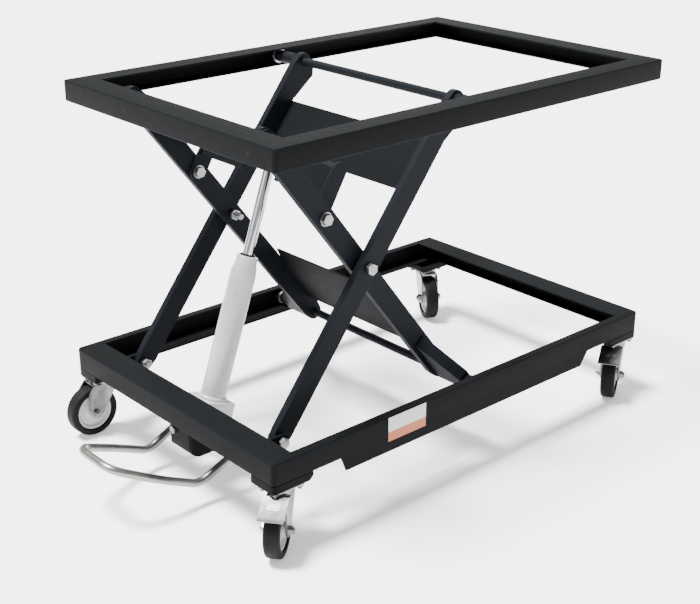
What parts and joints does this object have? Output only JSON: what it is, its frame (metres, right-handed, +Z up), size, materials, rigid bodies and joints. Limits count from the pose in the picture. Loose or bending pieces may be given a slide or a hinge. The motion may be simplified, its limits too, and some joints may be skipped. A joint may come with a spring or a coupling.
{
  "type": "scissor lift table",
  "caption": "Open-framed scissor lift table on swivel casters, raised by a foot-pumped hydraulic cylinder; both frames are pressed channel.",
  "frame": {"origin": "middle of the whole object's box seen from above, on the floor", "axes": "+X along the length, away from the foot pedal; +Y to the left of a person at the pedal; +Z up"},
  "size_m": [1.127, 0.6532, 0.698],
  "materials": {
    "frame_black": "powder coat, satin anthracite",
    "arm_black": "powder coat, satin blue-black",
    "zinc": "zinc plated",
    "steel": "ground and polished",
    "pump_paint": "gloss light grey paint",
    "tyre_black": "matt black rubber",
    "hub_grey": "moulded light grey",
    "label_white": "blank label"
  },
  "bodies": {
    "base": {"base_pivot_bolt_left": "zinc", "base_pivot_bolt_right": "zinc", "base_rail_back": "frame_black", "base_rail_front": "frame_black", "base_rail_left": "frame_black", "base_rail_right": "frame_black", "bracket_screw": "zinc", "caster_pad_back_left": "frame_black", "caster_pad_back_right": "frame_black", "caster_pad_front_left": "frame_black", "caster_pad_front_right": "frame_black", "caster_plate_back_left": "zinc", "caster_plate_back_right": "zinc", "caster_plate_front_left": "zinc", "caster_plate_front_right": "zinc", "label": "label_white", "pump_bracket": "frame_black", "pump_pin": "zinc"},
    "platform": {"platform_pivot_bolt_left": "zinc", "platform_pivot_bolt_right": "zinc", "platform_rail_back": "frame_black", "platform_rail_front": "frame_black", "platform_rail_left": "frame_black", "platform_rail_right": "frame_black"},
    "outer_arms": {"centre_bolt_left": "zinc", "centre_bolt_right": "zinc", "outer_arm_left": "arm_black", "outer_arm_right": "arm_black", "upper_axle": "arm_black", "upper_cross_plate": "arm_black"},
    "inner_arms": {"inner_arm_left": "arm_black", "inner_arm_right": "arm_black", "lever_crossbar": "arm_black", "lever_left": "arm_black", "lever_right": "arm_black", "lower_axle": "arm_black", "lower_cross_plate": "arm_black"},
    "cylinder": {"cylinder_tube": "pump_paint", "pump_block": "pump_paint"},
    "piston": {"piston_rod": "steel", "rod_head": "zinc"},
    "foot_pedal": {"foot_pedal": "steel"},
    "upper_roller_left": {"upper_roller_left": "steel"},
    "lower_roller_left": {"lower_roller_left": "steel"},
    "upper_roller_right": {"upper_roller_right": "steel"},
    "lower_roller_right": {"lower_roller_right": "steel"},
    "swivel_front_right": {"caster_fork_front_right": "zinc"},
    "wheel_front_right": {"caster_hub_front_right": "hub_grey", "caster_tyre_front_right": "tyre_black"},
    "brake_front_right": {"brake_pedal_front_right": "zinc"},
    "swivel_back_right": {"caster_fork_back_right": "zinc"},
    "wheel_back_right": {"caster_hub_back_right": "hub_grey", "caster_tyre_back_right": "tyre_black"},
    "brake_back_right": {"brake_pedal_back_right": "zinc"},
    "swivel_front_left": {"caster_fork_front_left": "zinc"},
    "wheel_front_left": {"caster_hub_front_left": "hub_grey", "caster_tyre_front_left": "tyre_black"},
    "swivel_back_left": {"caster_fork_back_left": "zinc"},
    "wheel_back_left": {"caster_hub_back_left": "hub_grey", "caster_tyre_back_left": "tyre_black"}
  },
  "joints": [
    {"name": "lift", "type": "hinge", "parent": "base", "child": "outer_arms", "pos_m": [-0.3185, 0.01814, 0.1535], "axis": [0, 1, 0], "range_deg": [0, 28]},
    {"name": "centre_pivot", "type": "hinge", "parent": "outer_arms", "child": "inner_arms", "pos_m": [-0.1145, 0.01814, 0.4165], "axis": [0, 1, 0], "range_deg": [-56.01, 0]},
    {"name": "platform_pivot", "type": "hinge", "parent": "inner_arms", "child": "platform", "pos_m": [-0.3185, 0.01814, 0.6795], "axis": [0, 1, 0], "range_deg": [0, 28.01]},
    {"name": "cylinder_tilt", "type": "hinge", "parent": "base", "child": "cylinder", "pos_m": [-0.3225, 0.01814, 0.101], "axis": [0, 1, 0], "range_deg": [0, 11.61]},
    {"name": "piston_stroke", "type": "slide", "parent": "cylinder", "child": "piston", "axis": [0.3352, 0, 0.9421], "range_m": [-0.13815, 0]},
    {"name": "pedal_press", "type": "hinge", "parent": "base", "child": "foot_pedal", "pos_m": [-0.2965, 0.01814, 0.086], "axis": [0, -1, 0], "range_deg": [0, 15], "stiffness_Nm_per_rad": 8, "springref_deg": -28.65},
    {"name": "upper_roller_left_spin", "type": "hinge", "parent": "outer_arms", "child": "upper_roller_left", "pos_m": [0.0895, 0.30714, 0.6795], "axis": [0, 1, 0], "continuous": true},
    {"name": "lower_roller_left_spin", "type": "hinge", "parent": "inner_arms", "child": "lower_roller_left", "pos_m": [0.0895, 0.30714, 0.1535], "axis": [0, 1, 0], "continuous": true},
    {"name": "upper_roller_right_spin", "type": "hinge", "parent": "outer_arms", "child": "upper_roller_right", "pos_m": [0.0895, -0.27086, 0.6795], "axis": [0, 1, 0], "continuous": true},
    {"name": "lower_roller_right_spin", "type": "hinge", "parent": "inner_arms", "child": "lower_roller_right", "pos_m": [0.0895, -0.27086, 0.1535], "axis": [0, 1, 0], "continuous": true},
    {"name": "swivel_front_right", "type": "hinge", "parent": "base", "child": "swivel_front_right", "pos_m": [-0.3691, -0.26086, 0.105], "axis": [0, 0, 1], "continuous": true},
    {"name": "wheel_front_right", "type": "hinge", "parent": "swivel_front_right", "child": "wheel_front_right", "pos_m": [-0.39211, -0.27851, 0.05], "axis": [0.6088, -0.7934, 0], "continuous": true},
    {"name": "brake_front_right", "type": "hinge", "parent": "swivel_front_right", "child": "brake_front_right", "pos_m": [-0.39766, -0.28277, 0.094], "axis": [0.6088, -0.7934, 0], "range_deg": [0, 9]},
    {"name": "swivel_back_right", "type": "hinge", "parent": "base", "child": "swivel_back_right", "pos_m": [0.5189, -0.26086, 0.105], "axis": [0, 0, 1], "continuous": true},
    {"name": "wheel_back_right", "type": "hinge", "parent": "swivel_back_right", "child": "wheel_back_right", "pos_m": [0.49386, -0.27549, 0.05], "axis": [0.5045, -0.8634, 0], "continuous": true},
    {"name": "brake_back_right", "type": "hinge", "parent": "swivel_back_right", "child": "brake_back_right", "pos_m": [0.48782, -0.27902, 0.094], "axis": [0.5045, -0.8634, 0], "range_deg": [0, 9]},
    {"name": "swivel_front_left", "type": "hinge", "parent": "base", "child": "swivel_front_left", "pos_m": [-0.3691, 0.29714, 0.105], "axis": [0, 0, 1], "continuous": true},
    {"name": "wheel_front_left", "type": "hinge", "parent": "swivel_front_left", "child": "wheel_front_left", "pos_m": [-0.3981, 0.29714, 0.05], "axis": [0, -1, 0], "continuous": true},
    {"name": "swivel_back_left", "type": "hinge", "parent": "base", "child": "swivel_back_left", "pos_m": [0.5189, 0.29714, 0.105], "axis": [0, 0, 1], "continuous": true},
    {"name": "wheel_back_left", "type": "hinge", "parent": "swivel_back_left", "child": "wheel_back_left", "pos_m": [0.5044, 0.27203, 0.05], "axis": [0.866, -0.5, 0], "continuous": true}
  ],
  "couplings": [
    {"joint": "centre_pivot", "follows": "lift", "ratio": -2},
    {"joint": "platform_pivot", "follows": "lift", "ratio": 1},
    {"joint": "cylinder_tilt", "follows": "lift", "ratio": 0.4142},
    {"joint": "piston_stroke", "follows": "lift", "m_per_rad": -0.28249}
  ]
}
